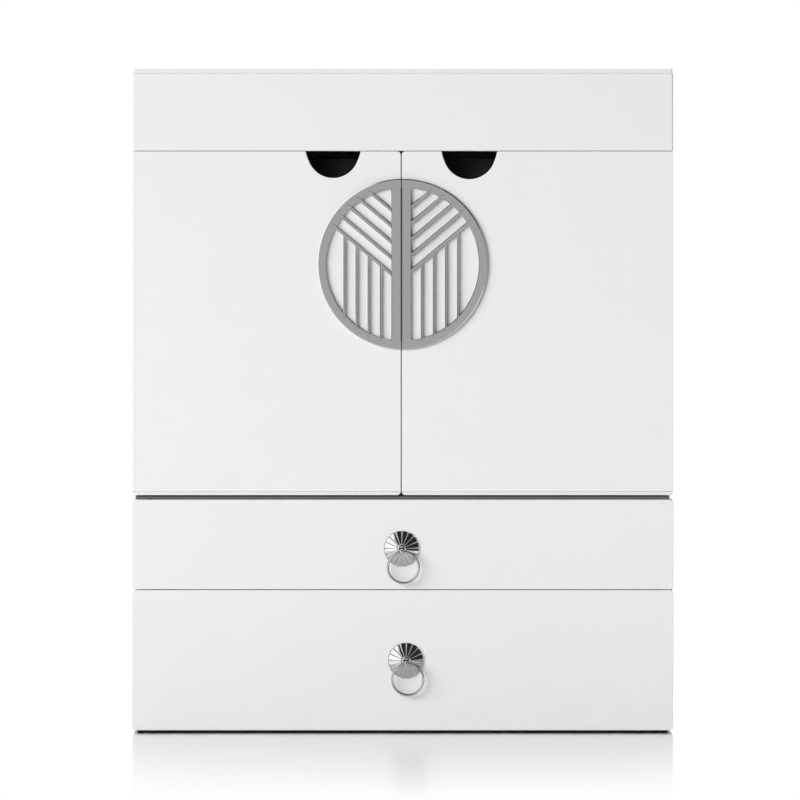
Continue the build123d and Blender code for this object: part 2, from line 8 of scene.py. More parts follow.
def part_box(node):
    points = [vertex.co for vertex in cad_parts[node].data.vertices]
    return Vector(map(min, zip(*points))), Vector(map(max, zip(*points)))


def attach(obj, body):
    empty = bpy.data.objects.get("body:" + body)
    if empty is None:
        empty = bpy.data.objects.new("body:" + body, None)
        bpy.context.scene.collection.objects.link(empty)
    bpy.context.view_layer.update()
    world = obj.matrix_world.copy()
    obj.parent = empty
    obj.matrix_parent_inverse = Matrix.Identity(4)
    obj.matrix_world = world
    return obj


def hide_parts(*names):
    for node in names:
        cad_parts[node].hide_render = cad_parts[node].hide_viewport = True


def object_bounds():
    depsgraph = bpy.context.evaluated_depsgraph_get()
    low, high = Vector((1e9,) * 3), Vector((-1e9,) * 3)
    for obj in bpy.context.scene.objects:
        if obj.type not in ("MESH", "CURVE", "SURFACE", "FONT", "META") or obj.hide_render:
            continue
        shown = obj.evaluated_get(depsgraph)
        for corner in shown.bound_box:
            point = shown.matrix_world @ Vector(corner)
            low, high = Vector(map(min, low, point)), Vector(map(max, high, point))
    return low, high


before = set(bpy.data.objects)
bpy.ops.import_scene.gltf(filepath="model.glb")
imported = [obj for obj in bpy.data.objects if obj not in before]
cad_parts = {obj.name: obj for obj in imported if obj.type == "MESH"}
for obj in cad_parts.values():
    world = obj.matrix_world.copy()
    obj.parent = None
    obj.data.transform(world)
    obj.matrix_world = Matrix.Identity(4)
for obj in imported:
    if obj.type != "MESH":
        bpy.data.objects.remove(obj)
cad_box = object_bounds()
mm = 0.001

# Base board. A thin board covered in black flock, set back under the lower drawer, which the
# whole cabinet stands on. Its flock is darker than the flock inside the cabinet, partly as painted
# shade for the shadow along the cabinet's foot.


class Shade:
    """A socket among a finish's nodes. Arithmetic on it adds Math or Vector Math nodes."""

    def __init__(self, tree, socket=None):
        self.tree = tree
        self.socket = socket

    def node(self, kind, settings=None, sockets=None, output=0):
        """Add a node: its settings first, then the value or the link of each of its sockets."""
        added = self.tree.nodes.new("ShaderNode" + kind)
        for name, value in (settings or {}).items():
            setattr(added, name, value)
        for name, value in (sockets or {}).items():
            if isinstance(value, Shade):
                self.tree.links.new(value.socket, added.inputs[name])
            else:
                added.inputs[name].default_value = value
        return Shade(self.tree, added.outputs[output])

    def combined(self, operation, first, second):
        """Join two sides, sockets or numbers, by one operation."""
        sides = (first, second)
        vectors = any(isinstance(side, Shade) and side.socket.type != "VALUE" for side in sides)
        if not vectors:
            return self.node("Math", {"operation": operation}, {0: first, 1: second})
        first, second = (side if isinstance(side, Shade) else (side,) * 3 for side in sides)
        return self.node("VectorMath", {"operation": operation}, {0: first, 1: second})

    def __add__(self, other):
        return self.combined("ADD", self, other)

    def __radd__(self, other):
        return self.combined("ADD", other, self)

    def __sub__(self, other):
        return self.combined("SUBTRACT", self, other)

    def __rsub__(self, other):
        return self.combined("SUBTRACT", other, self)

    def __mul__(self, other):
        return self.combined("MULTIPLY", self, other)

    def __rmul__(self, other):
        return self.combined("MULTIPLY", other, self)

    def step(self, start, end):
        """0 where the value is below start, 1 above end, and smooth between them."""
        spread = {"Value": self, "From Min": start, "From Max": end}
        return self.node("MapRange", {"interpolation_type": "SMOOTHSTEP"}, spread)

    def blend(self, low, high):
        """A colour that goes from low to high as this value goes from 0 to 1."""
        low, high = (
            tone if isinstance(tone, Shade) else (tone, tone, tone, 1) for tone in (low, high)
        )
        return self.node("Mix", {"data_type": "RGBA"}, {0: self, 6: low, 7: high}, output=2)


def new_finish(name):
    """A material with an empty Principled shader: returns it, the shader and the piece's coordinates."""
    finish = bpy.data.materials.new(name)
    finish.use_nodes = True
    tree = finish.node_tree
    place = Shade(tree).node("TexCoord", output="Object")
    return finish, tree.nodes["Principled BSDF"], place


def set_finish(shader, **sockets):
    """Set or link the Principled shader's sockets, named as in Base_Color."""
    for name, value in sockets.items():
        socket = shader.inputs[name.replace("_", " ")]
        if isinstance(value, Shade):
            value.tree.links.new(value.socket, socket)
        elif isinstance(socket.default_value, float):
            socket.default_value = value
        else:
            socket.default_value = (*value, 1)


def flock_finish(name, dark, light, fibre=0.35 * mm):
    """Short matte fibres, some lying darker and some lighter, with a soft nap in broad patches."""
    finish, shader, place = new_finish(name)
    fibres = place.node("TexNoise", None, {"Vector": place, "Scale": 1 / fibre, "Detail": 3.0})
    nap = place.node("TexNoise", None, {"Vector": place, "Scale": 60.0, "Detail": 2.0})
    shade = 0.7 * fibres + 0.3 * nap
    relief = place.node("Bump", None, {"Height": fibres, "Strength": 0.5, "Distance": 0.1 * mm})
    set_finish(shader, Base_Color=shade.step(0.25, 0.75).blend(dark, light), Normal=relief)
    set_finish(shader, Roughness=0.95, Specular_IOR_Level=0.15, Sheen_Weight=0.15)
    return finish


def dress_nodes(finish, *names):
    """Give CAD nodes that stay in view their finish."""
    for name in names:
        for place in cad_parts[name].material_slots:
            place.material = finish


# The base flock's near-black is painted shade in part, for the shadow under the cabinet's foot.
base_shadow_flock = flock_finish("Black flock of the base", 0.006, 0.018)
black_flock = flock_finish("Black flock", 0.03, 0.08)
dress_nodes(base_shadow_flock, "base_board")

# Lower case. Boards wrapped in white leatherette and glued into a box with two drawer bays. The
# leather turns over every edge, so the edges are soft and the seams between the boards show.


def leatherette_finish(name, tone, pebble=0.55 * mm, relief_depth=0.02 * mm):
    """White leather cloth: a fine pebble grain with pores, and a sheen that is not quite even."""
    finish, shader, place = new_finish(name)
    wander = place.node("TexNoise", None, {"Vector": place, "Scale": 1 / (3 * pebble)}, output="Color")
    bent = place + (wander - 0.5) * (0.8 * pebble)
    pebbles = place.node("TexVoronoi", {"feature": "SMOOTH_F1"}, {"Vector": bent, "Scale": 1 / pebble})
    pores = place.node("TexNoise", None, {"Vector": place, "Scale": 3 / pebble, "Detail": 2.0})
    clouds = place.node("TexNoise", None, {"Vector": place, "Scale": 35.0, "Detail": 3.0})
    height = 0.25 * pores - pebbles
    relief = place.node("Bump", None, {"Height": height, "Strength": 0.35, "Distance": relief_depth})
    valleys = pebbles.step(0.35, 0.75)
    handled_tone = tone * 0.99
    valley_tone = tone * 0.985
    colour = valleys.blend(clouds.step(0.3, 0.7).blend(handled_tone, tone), valley_tone)
    roughness = 0.46 + 0.08 * clouds + 0.06 * valleys
    set_finish(shader, Base_Color=colour, Roughness=roughness, Normal=relief)
    set_finish(shader, Specular_IOR_Level=0.4)
    return finish


white_leatherette = leatherette_finish("White leatherette", 0.88)
same_place = 0.001 * mm
sharp_angle = radians(50)


def board_mesh(node):
    """A box as large as a board's CAD node, with the board's lowest and highest corners."""
    low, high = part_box(node)
    mesh = bmesh.new()
    bmesh.ops.create_cube(mesh, size=1.0)
    bmesh.ops.scale(mesh, vec=high - low, verts=mesh.verts)
    bmesh.ops.translate(mesh, vec=(low + high) / 2, verts=mesh.verts)
    return mesh, low, high


def edges_at(mesh, **places):
    """The edges whose two ends lie at every given place, such as x=0.15."""
    return [
        edge
        for edge in mesh.edges
        if all(
            abs(getattr(vert.co, axis) - place) < same_place
            for vert in edge.verts
            for axis, place in places.items()
        )
    ]


def round_edges(mesh, edges, radius, segments=4):
    """Round edges of the mesh, as leather or a file leaves them."""
    bmesh.ops.bevel(
        mesh,
        geom=edges,
        offset=radius,
        offset_type="OFFSET",
        segments=segments,
        profile=0.5,
        affect="EDGES",
        clamp_overlap=True,
        material=-1,
    )


def sharp(edges):
    """Those of the edges that nothing has rounded yet."""
    return [edge for edge in edges if edge.calc_face_angle(0.0) > sharp_angle]


def soften(mesh, radius, segments=3):
    """Round every edge that is still sharp."""
    round_edges(mesh, sharp(mesh.edges), radius, segments)


def finished_piece(mesh, name, body, finish, slot, *nodes):
    """Make the mesh a smooth piece that rides on a body and stands for its CAD nodes."""
    bmesh.ops.recalc_face_normals(mesh, faces=mesh.faces)
    for face in mesh.faces:
        face.smooth = True
    data = bpy.data.meshes.new(name)
    mesh.to_mesh(data)
    mesh.free()
    data.materials.append(finish)
    piece = bpy.data.objects.new(name, data)
    bpy.context.scene.collection.objects.link(piece)
    shading = piece.modifiers.new("Flat faces stay flat", "WEIGHTED_NORMAL")
    shading.keep_sharp = True
    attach(piece, body)
    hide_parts(*nodes)


def wrapped_piece(mesh, node, body):
    """A board wrapped in white leatherette, in place of its CAD node."""
    finished_piece(mesh, f"{node}_wrapped", body, white_leatherette, "white_leatherette", node)


def flocked_piece(mesh, node, body):
    """A board covered in black flock, in place of its CAD node."""
    finished_piece(mesh, f"{node}_flocked", body, black_flock, "black_flock", node)


sides = {"left": -1, "right": 1}
turned_edge = 0.7 * mm
case_corner = 2.5 * mm

for name, side in sides.items():
    node = f"lower_case_{name}_wall"
    wall, low, high = board_mesh(node)
    outer = low.x if side < 0 else high.x
    round_edges(wall, edges_at(wall, x=outer, y=high.y), case_corner)
    soften(wall, turned_edge)
    wrapped_piece(wall, node, "cabinet")

back = board_mesh("lower_case_back")[0]
soften(back, turned_edge)
wrapped_piece(back, "lower_case_back", "cabinet")

for node in ("lower_case_floor", "drawer_divider", "lower_case_top"):
    bay_board = board_mesh(node)[0]
    soften(bay_board, turned_edge)
    flocked_piece(bay_board, node, "cabinet")

# Spacer board. A wrapped board between the two cases, set back 2 mm, so that it shows as a shadowed
# groove all round; its dark grey is painted shade. Its front top edge is bevelled, so the groove is
# darkest there.


def grey_board_finish(name, dark, light):
    """Smooth grey cover paper over board, with faint fibres in it."""
    finish, shader, place = new_finish(name)
    tangle = {"Vector": place, "Scale": 900.0, "Detail": 4.0, "Distortion": 1.5}
    fibres = place.node("TexNoise", None, tangle)
    relief = place.node("Bump", None, {"Height": fibres, "Strength": 0.2, "Distance": 0.02 * mm})
    set_finish(shader, Base_Color=fibres.step(0.3, 0.7).blend(dark, light), Normal=relief)
    set_finish(shader, Roughness=0.55 + 0.1 * fibres)
    return finish


# The spacer's dark grey tones are painted shade for the groove under the doors.
grey_board = grey_board_finish("Groove shade cover paper", 0.13, 0.16)
spacer_bevel = 1.0 * mm
spacer_edge = 0.25 * mm

spacer, low, high = board_mesh("spacer_board")
round_edges(spacer, edges_at(spacer, y=low.y, z=high.z), spacer_bevel, segments=1)
soften(spacer, spacer_edge)
finished_piece(spacer, "spacer_board_wrapped", "cabinet", grey_board, "grey_board", "spacer_board")

# Upper case. Side walls and back carry the hinges of the doors and the lid, and their hinge
# edges are rounded more, so that the leaves can turn. The linings are flocked card.
hinge_edge_segments = 6

for name, side in sides.items():
    node = f"upper_case_{name}_wall"
    wall, low, high = board_mesh(node)
    outer = low.x if side < 0 else high.x
    hinge_edges = [
        *edges_at(wall, x=outer, y=high.y),
        *edges_at(wall, x=outer, y=low.y),
        *edges_at(wall, y=high.y, z=high.z),
    ]
    round_edges(wall, hinge_edges, case_corner, hinge_edge_segments)
    soften(wall, turned_edge)
    wrapped_piece(wall, node, "cabinet")

back, low, high = board_mesh("upper_case_back")
round_edges(back, edges_at(back, y=high.y, z=high.z), case_corner, hinge_edge_segments)
soften(back, turned_edge)
wrapped_piece(back, "upper_case_back", "cabinet")

floor_board = board_mesh("upper_case_floor")[0]
soften(floor_board, turned_edge)
wrapped_piece(floor_board, "upper_case_floor", "cabinet")

dress_nodes(black_flock, "left_lining", "right_lining", "back_lining", "floor_lining")

# Shelf and tray. Flocked boards inside the case: a loose shelf on four steel pins, and the tray
# under the lid with its dividers. Felt discs on the walls take the closed lid.


def steel_finish(name, tone, rough):
    """Nickel-plated steel, rolled and tumbled, with fine scratches that run every way."""
    finish, shader, place = new_finish(name)
    tangle = {"Vector": place, "Scale": 2500.0, "Detail": 4.0, "Distortion": 2.0}
    scratches = place.node("TexNoise", None, tangle)
    spots = place.node("TexNoise", None, {"Vector": place, "Scale": 250.0, "Detail": 2.0})
    relief = place.node("Bump", None, {"Height": scratches, "Strength": 0.15, "Distance": 0.01 * mm})
    set_finish(shader, Base_Color=spots.blend(tone * 0.9, tone), Roughness=rough + 0.15 * scratches)
    set_finish(shader, Metallic=1.0, Normal=relief)
    return finish


steel = steel_finish("Plated steel", 0.62, 0.25)
shelf_edge = 1.2 * mm

for node, edge_radius in {"shelf": shelf_edge, "tray_front": turned_edge}.items():
    flocked_board = board_mesh(node)[0]
    soften(flocked_board, edge_radius)
    flocked_piece(flocked_board, node, "cabinet")

dress_nodes(black_flock, "tray_floor", "tray_dividers", "lid_bumpers")
dress_nodes(steel, "shelf_pins", "striker_plates")

# Hinges. Small butt hinges of rolled steel with pins and flat-headed screws, two for the lid and
# two for each door. The magnets that hold the doors shut are plated like them.
dress_nodes(steel, "door_hinge_case_leaves", "door_hinge_pins", "case_hinge_screws")
dress_nodes(steel, "lid_hinge_case_leaves", "lid_hinge_pins", "lid_hinge_leaves", "lid_hinge_screws")
for name in sides:
    dress_nodes(steel, f"{name}_door_hinge_leaves", f"{name}_door_hinge_screws", f"{name}_door_magnet")

# Lid. A wrapped frame, open underneath, with a thin wrapped panel on top of it. The wrap of the
# panel is folded just under its top edge. Inside are a flocked lining board and a mirror with a
# ground edge.


def crease(mesh, front, height, half_width, depth):
    """Press a fine level crease into the front face, where its wrap is folded."""
    for offset in (-half_width, 0.0, half_width):
        everything = [*mesh.verts, *mesh.edges, *mesh.faces]
        level = (0, 0, height + offset)
        bmesh.ops.bisect_plane(mesh, geom=everything, plane_co=level, plane_no=(0, 0, 1))
    on_fold = [vert for vert in mesh.verts if abs(vert.co.z - height) < same_place]
    fold = [vert for vert in on_fold if vert.co.y < front + same_place]
    bmesh.ops.translate(mesh, vec=(0, depth, 0), verts=fold)
    for edge in mesh.edges:
        if all(abs(vert.co.z - height) < half_width + same_place for vert in edge.verts):
            edge.smooth = abs(edge.verts[0].co.z - edge.verts[1].co.z) > same_place


def hollow_out(mesh, face, wall, travel):
    """Push a level face up or down by travel, but for a wall that stays all round it."""
    bmesh.ops.inset_individual(mesh, faces=[face], thickness=wall)
    pushed = bmesh.ops.extrude_discrete_faces(mesh, faces=[face])["faces"]
    verts = {vert for pushed_face in pushed for vert in pushed_face.verts}
    bmesh.ops.translate(mesh, vec=(0, 0, travel), verts=list(verts))


lid_wall_thickness = 8 * mm
lid_skin = 0.2 * mm
lid_fold_drop = 0.9 * mm
lid_fold_half_width = 0.25 * mm
lid_fold_depth = 0.35 * mm
lid_top_edge = 0.35 * mm
lid_front_corner = 1.0 * mm
lid_lower_edge = 0.25 * mm
lid_seam_edge = 0.5 * mm
mirror_corner = 4 * mm
mirror_corner_segments = 8
mirror_ground_edge = 1.2 * mm

lid, low, high = board_mesh("lid_walls")
underside = min(lid.faces, key=lambda face: face.calc_center_median().z)
hollow_out(lid, underside, lid_wall_thickness, high.z - low.z - lid_skin)
for x in (low.x, high.x):
    round_edges(lid, edges_at(lid, x=x, y=low.y), lid_front_corner)
lid_hinge_edges = [
    *edges_at(lid, x=low.x, y=high.y),
    *edges_at(lid, x=high.x, y=high.y),
    *edges_at(lid, y=high.y, z=low.z),
]
round_edges(lid, lid_hinge_edges, case_corner, hinge_edge_segments)
round_edges(lid, sharp(edges_at(lid, z=high.z)), lid_seam_edge)
soften(lid, lid_lower_edge)
wrapped_piece(lid, "lid_walls", "lid")

lid_panel, low, high = board_mesh("lid_top_panel")
for x in (low.x, high.x):
    for y in (low.y, high.y):
        round_edges(lid_panel, edges_at(lid_panel, x=x, y=y), lid_front_corner)
round_edges(lid_panel, sharp(edges_at(lid_panel, z=high.z)), lid_top_edge)
soften(lid_panel, lid_seam_edge)
crease(lid_panel, low.y, high.z - lid_fold_drop, lid_fold_half_width, lid_fold_depth)
wrapped_piece(lid_panel, "lid_top_panel", "lid")

dress_nodes(black_flock, "lid_lining")

mirror_glass, mirror_shader, mirror_place = new_finish("Silvered glass")
wiping = {"Vector": mirror_place, "Scale": 14.0, "Detail": 4.0, "Distortion": 0.6}
smears = mirror_place.node("TexNoise", None, wiping)
set_finish(mirror_shader, Base_Color=smears.blend(0.86, 0.9), Roughness=0.02 * smears.step(0.4, 0.8))
set_finish(mirror_shader, Metallic=1.0)

mirror, low, high = board_mesh("lid_mirror")
for x in (low.x, high.x):
    for y in (low.y, high.y):
        round_edges(mirror, edges_at(mirror, x=x, y=y), mirror_corner, mirror_corner_segments)
round_edges(mirror, sharp(edges_at(mirror, z=low.z)), mirror_ground_edge, segments=1)
finished_piece(mirror, "lid_mirror_glass", "lid", mirror_glass, "mirror_glass", "lid_mirror")

# Doors. Overlay panels with a half-round finger notch in the top edge, flared at its mouth and a
# little larger in the right door. The wrap is folded just above the lower edge and the fold shows
# as a fine crease. The back has a flocked card lining.
overlay_corner = 2.0 * mm
overlay_front_edge = 0.3 * mm
overlay_rear_edge = 0.5 * mm
notch_radii = {"left": 14.3 * mm, "right": 14.55 * mm}
notch_drops = {"left": 0.5 * mm, "right": 0.9 * mm}
notch_flare = 0.95 * mm
notch_flare_depth = 6.0 * mm
notch_flare_curve = 1.5
notch_steps = 40
notch_offset = 37.75 * mm
notch_lip = 0.3 * mm
door_seam_x = -0.65 * mm
door_seam_ease = 0.05 * mm
fold_height = 1.8 * mm
fold_half_width = 0.35 * mm
fold_depth = 0.7 * mm

for name, side in sides.items():
    node = f"{name}_door_panel"
    low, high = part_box(node)
    front, rear = low.y, high.y
    outer = low.x if side < 0 else high.x
    inner = high.x - door_seam_ease if side < 0 else low.x + door_seam_ease
    notch_radius, notch_drop = notch_radii[name], notch_drops[name]
    notch_centre = Vector((door_seam_x + side * notch_offset, front, high.z - notch_drop))
    notch_half_width = sqrt(notch_radius**2 - notch_drop**2)

    # The arc of the notch, from its left end to its right one, widened towards its mouth.
    door = bmesh.new()
    notch_start = door.verts.new((notch_centre.x - notch_half_width, front, high.z))
    notch_sweep = -2 * atan2(notch_half_width, -notch_drop)
    swept = bmesh.ops.spin(
        door,
        geom=[notch_start],
        cent=notch_centre,
        axis=(0, 1, 0),
        angle=notch_sweep,
        steps=notch_steps,
    )
    notch_end = next(item for item in swept["geom_last"] if isinstance(item, bmesh.types.BMVert))
    for vert in door.verts:
        near_mouth = max(0.0, 1 - (high.z - vert.co.z) / notch_flare_depth)
        flare = notch_flare * near_mouth**notch_flare_curve
        vert.co.x += copysign(flare, vert.co.x - notch_centre.x)
    notch_half_width += notch_flare

    # The rest of the front's outline, filled and pushed back to the rear.
    left, right = sorted((outer, inner))
    corners = [(right, high.z), (right, low.z), (left, low.z), (left, high.z)]
    outline = [notch_end, *(door.verts.new((x, front, z)) for x, z in corners), notch_start]
    for start, end in zip(outline, outline[1:]):
        door.edges.new((start, end))
    bmesh.ops.contextual_create(door, geom=door.edges[:])
    panel = bmesh.ops.extrude_face_region(door, geom=door.faces[:])["geom"]
    rear_verts = [item for item in panel if isinstance(item, bmesh.types.BMVert)]
    bmesh.ops.translate(door, vec=(0, rear - front, 0), verts=rear_verts)
    bmesh.ops.recalc_face_normals(door, faces=door.faces)

    # The hinge edge, the corners and the lips of the notch, then the front rim and all the rest.
    round_edges(door, edges_at(door, x=outer, y=rear), case_corner, hinge_edge_segments)
    for z in (low.z, high.z):
        round_edges(door, edges_at(door, x=inner, z=z), overlay_corner)
        hinge_side = [
            edge
            for edge in edges_at(door, z=z)
            if all(abs(vert.co.x - outer) < case_corner + same_place for vert in edge.verts)
        ]
        round_edges(door, hinge_side, overlay_corner)
    for x in (notch_centre.x - notch_half_width, notch_centre.x + notch_half_width):
        round_edges(door, edges_at(door, x=x, z=high.z), notch_lip)
    round_edges(door, sharp(edges_at(door, y=front)), overlay_front_edge)
    soften(door, overlay_rear_edge)
    crease(door, front, low.z + fold_height, fold_half_width, fold_depth)
    wrapped_piece(door, node, f"{name}_door")
    dress_nodes(black_flock, f"{name}_door_lining")

# Badge. A round pierced plate of cast metal, plated in satin nickel and cut in two along the door
# seam. Sloping and upright bars with filed edges lie over its rim and end at the spine. Three
# studs behind each half hold it to its door.


def nickel_finish(name, tone, rough):
    """Satin nickel plate over a casting, slightly uneven from polishing."""
    finish, shader, place = new_finish(name)
    cloud = place.node("TexNoise", None, {"Vector": place, "Scale": 120.0, "Detail": 3.0})
    grain = place.node("TexNoise", None, {"Vector": place, "Scale": 3500.0, "Detail": 2.0})
    relief = place.node("Bump", None, {"Height": grain, "Strength": 0.1, "Distance": 0.01 * mm})
    set_finish(shader, Base_Color=cloud.blend(tone * 0.95, tone), Roughness=rough + 0.08 * cloud)
    set_finish(shader, Metallic=1.0, Normal=relief)
    return finish


nickel = nickel_finish("Satin nickel", 0.69, 0.16)
badge_steps = 160
badge_rim = 4.9 * mm
badge_reach = 2.0 * mm
badge_bar_reach = 2.2 * mm
badge_seam_half = 0.25 * mm
badge_spine_edge = 5.55 * mm
filed_edge = 0.4 * mm
rim_bevel = 0.55 * mm
rim_bevel_fall = 0.28 * mm
bar_edge = 0.45 * mm
filed_angle = radians(20)
slope_angle = radians(40)
slope_bar = 1.8 * mm
slope_count = 5
slope_pitch = 8.85 * mm
slope_lowest = {"left": -5.5 * mm, "right": -3.6 * mm}
upright_bar = 1.25 * mm
upright_count = 4
upright_pitch = 6.7 * mm
upright_first = 11.35 * mm
stud_radius = 1.0 * mm
stud_inset = 6.0 * mm
stud_sides = 20

# The spine and the upright bars lie a hair lower, so that no two faces share a plane.
level_step = 0.02 * mm


def full_turn(mesh, geometry, centre, axis, steps):
    """Spin part of the mesh once round an axis through centre."""
    bmesh.ops.spin(
        mesh, geom=geometry, cent=centre, axis=axis, angle=tau, steps=steps, use_merge=True
    )


def spun(profile, centre, steps):
    """Spin a profile of (radius, forward reach) points about the fore-and-aft axis at centre."""
    mesh = bmesh.new()
    places = [(centre.x + radius, centre.y - reach, centre.z) for radius, reach in profile]
    verts = [mesh.verts.new(place) for place in places]
    for start, end in zip(verts, verts[1:]):
        mesh.edges.new((start, end))
    full_turn(mesh, [*mesh.verts, *mesh.edges], centre, (0, 1, 0), steps)
    bmesh.ops.remove_doubles(mesh, verts=mesh.verts, dist=same_place)
    return mesh


def cast_on(mesh, part):
    """Add a part of the same casting to the mesh."""
    data = bpy.data.meshes.new("part")
    part.to_mesh(data)
    part.free()
    mesh.from_mesh(data)
    bpy.data.meshes.remove(data)


def cut_along(mesh, x, side):
    """Cut the mesh at x, keep what lies outwards of it and close the cut."""
    everything = [*mesh.verts, *mesh.edges, *mesh.faces]
    bmesh.ops.bisect_plane(
        mesh, geom=everything, plane_co=(x, 0, 0), plane_no=(side, 0, 0), clear_inner=True
    )
    bmesh.ops.holes_fill(mesh, edges=mesh.edges)


def bar_mesh(width, length, reach, filed):
    """An upright bar that stands on the origin, with the edges of its face filed off."""
    bar = bmesh.new()
    bmesh.ops.create_cube(bar, size=1.0)
    bmesh.ops.scale(bar, vec=(width, reach, length), verts=bar.verts)
    bmesh.ops.translate(bar, vec=(0, -reach / 2, length / 2), verts=bar.verts)
    round_edges(bar, edges_at(bar, y=-reach), filed, segments=1)
    return bar


def add_peg(mesh, root, radius, length, sides_round):
    """Add a round peg that runs backwards from root, such as a stud or a stem."""
    bmesh.ops.create_cone(
        mesh,
        cap_ends=True,
        segments=sides_round,
        radius1=radius,
        radius2=radius,
        depth=length,
        matrix=Matrix.Translation(root + Vector((0, length / 2, 0))) @ Matrix.Rotation(pi / 2, 4, "X"),
    )


for name, side in sides.items():
    node = f"{name}_badge"
    low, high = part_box("right_badge")
    badge_radius = high.x
    badge_centre = Vector((0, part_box(f"{name}_door_panel")[0].y, (low.z + high.z) / 2))
    bar_ends = badge_radius - badge_rim / 2
    spine_x = door_seam_x + side * badge_spine_edge

    # Half of the rim.
    inner_radius = badge_radius - badge_rim
    rim_profile = [
        (badge_radius, 0.0),
        (badge_radius, badge_reach - rim_bevel_fall),
        (badge_radius - rim_bevel, badge_reach),
        (inner_radius + filed_edge, badge_reach),
        (inner_radius, badge_reach - filed_edge),
        (inner_radius, 0.0),
        (badge_radius, 0.0),
    ]
    plate = spun(rim_profile, badge_centre, badge_steps)
    cut_along(plate, door_seam_x + side * badge_seam_half, side)

    # The spine, which runs along the seam.
    spine_width = badge_spine_edge - badge_seam_half
    spine = bar_mesh(spine_width, 2 * bar_ends, badge_reach - level_step, filed_edge)
    spine_foot = (spine_x - side * spine_width / 2, badge_centre.y, badge_centre.z - bar_ends)
    bmesh.ops.translate(spine, vec=spine_foot, verts=spine.verts)
    cast_on(plate, spine)

    # Sloping bars, each begun behind the spine's edge, run out to the rim and cut off at that edge.
    for index in range(slope_count):
        foot_rise = slope_lowest[name] + index * slope_pitch
        foot = Vector((spine_x, badge_centre.y, badge_centre.z + foot_rise))
        along = Vector((side * cos(slope_angle), 0, sin(slope_angle)))
        from_centre = foot - badge_centre
        reach_along = from_centre.dot(along)
        length = sqrt(reach_along**2 - from_centre.length_squared + bar_ends**2) - reach_along
        root = 2 * slope_bar
        bar = bar_mesh(slope_bar, length + root, badge_bar_reach, bar_edge)
        lean = Matrix.Rotation(side * (pi / 2 - slope_angle), 3, "Y")
        bmesh.ops.rotate(bar, cent=(0, 0, 0), matrix=lean, verts=bar.verts)
        bmesh.ops.translate(bar, vec=foot - along * root, verts=bar.verts)
        cut_along(bar, spine_x, side)
        cast_on(plate, bar)

    # Upright bars, from the rim up to the lowest sloping bar.
    for index in range(upright_count):
        from_seam = upright_first + index * upright_pitch
        x = door_seam_x + side * from_seam
        top = slope_lowest[name] + (from_seam - badge_spine_edge) * tan(slope_angle)
        foot_drop = sqrt(bar_ends**2 - x**2)
        bar = bar_mesh(upright_bar, top + foot_drop, badge_bar_reach - level_step, bar_edge)
        bmesh.ops.translate(bar, vec=(x, badge_centre.y, badge_centre.z - foot_drop), verts=bar.verts)
        cast_on(plate, bar)

    # Studs behind both ends of the spine and the middle of the rim.
    stud_x = spine_x - side * spine_width / 2
    stud_drop = badge_radius - stud_inset
    stud_length = high.y - badge_centre.y
    for x, z in ((stud_x, stud_drop), (stud_x, -stud_drop), (side * bar_ends, 0)):
        add_peg(plate, badge_centre + Vector((x, 0, z)), stud_radius, stud_length, stud_sides)
    for edge in plate.edges:
        edge.smooth = edge.calc_face_angle(0.0) < filed_angle
    finished_piece(plate, f"{name}_badge_plate", f"{name}_door", nickel, "badge_nickel", node)

# Drawers. A wrapped overlay front, rounded like the doors, on a box of thin flocked boards with a
# flocked bottom.
drawer_wall = 5.0 * mm
drawer_skin = 0.1 * mm

for name in ("upper", "lower"):
    node = f"{name}_drawer_front"
    drawer_front, low, high = board_mesh(node)
    for x in (low.x, high.x):
        for z in (low.z, high.z):
            round_edges(drawer_front, edges_at(drawer_front, x=x, z=z), overlay_corner)
    round_edges(drawer_front, sharp(edges_at(drawer_front, y=low.y)), overlay_front_edge)
    soften(drawer_front, overlay_rear_edge)
    wrapped_piece(drawer_front, node, f"{name}_drawer")

    node = f"{name}_drawer_box"
    drawer_box, low, high = board_mesh(node)
    open_top = max(drawer_box.faces, key=lambda face: face.calc_center_median().z)
    hollow_out(drawer_box, open_top, drawer_wall, low.z - high.z + drawer_skin)
    soften(drawer_box, turned_edge)
    flocked_piece(drawer_box, node, f"{name}_drawer")
    dress_nodes(black_flock, f"{name}_drawer_bottom")

# Ring pulls. A stamped rosette of sixteen flat petals, a slotted boss with an eye under it, and
# a ring of round wire that hangs in the eye, all chrome plated, with painted shade in the petal grooves,
# the slot, under the boss and along the ring's sides. A stem and a nut hold each of them.


def chrome_finish(name, tone, rough, painted_shade_tone=0.02):
    """Polished chrome with the faint cloud that handling leaves, darkened by painted shade where the
    mesh asks.
    """
    finish, shader, place = new_finish(name)
    cloud = place.node("TexNoise", None, {"Vector": place, "Scale": 400.0, "Detail": 3.0})
    # Painted shade: each piece's painted_shade attribute darkens the colour towards painted_shade_tone.
    painted_shade = place.node("Attribute", {"attribute_name": "painted_shade"}, output="Fac")
    colour = painted_shade.blend(cloud.blend(tone * 0.97, tone), painted_shade_tone)
    set_finish(shader, Base_Color=colour, Roughness=rough * (0.5 + cloud))
    set_finish(shader, Metallic=1.0)
    return finish


chrome = chrome_finish("Polished chrome", 0.66, 0.06)
boss_radius = 2.4 * mm
rosette_hole = 0.9 * boss_radius
rosette_rim = 0.6 * mm
rosette_sink = 0.05 * mm
cone_share = 0.75
cone_rings = 12
petal_count = 16
petal_steps = 20
petal_groove = 0.405 * mm
petal_scallop = 0.04
groove_sharpness = 14
end_roundness = 4
# Painted shade: how dark the petal grooves and the rosette under the boss are painted.
groove_painted_shade = 0.3
under_boss_painted_shade = 0.8


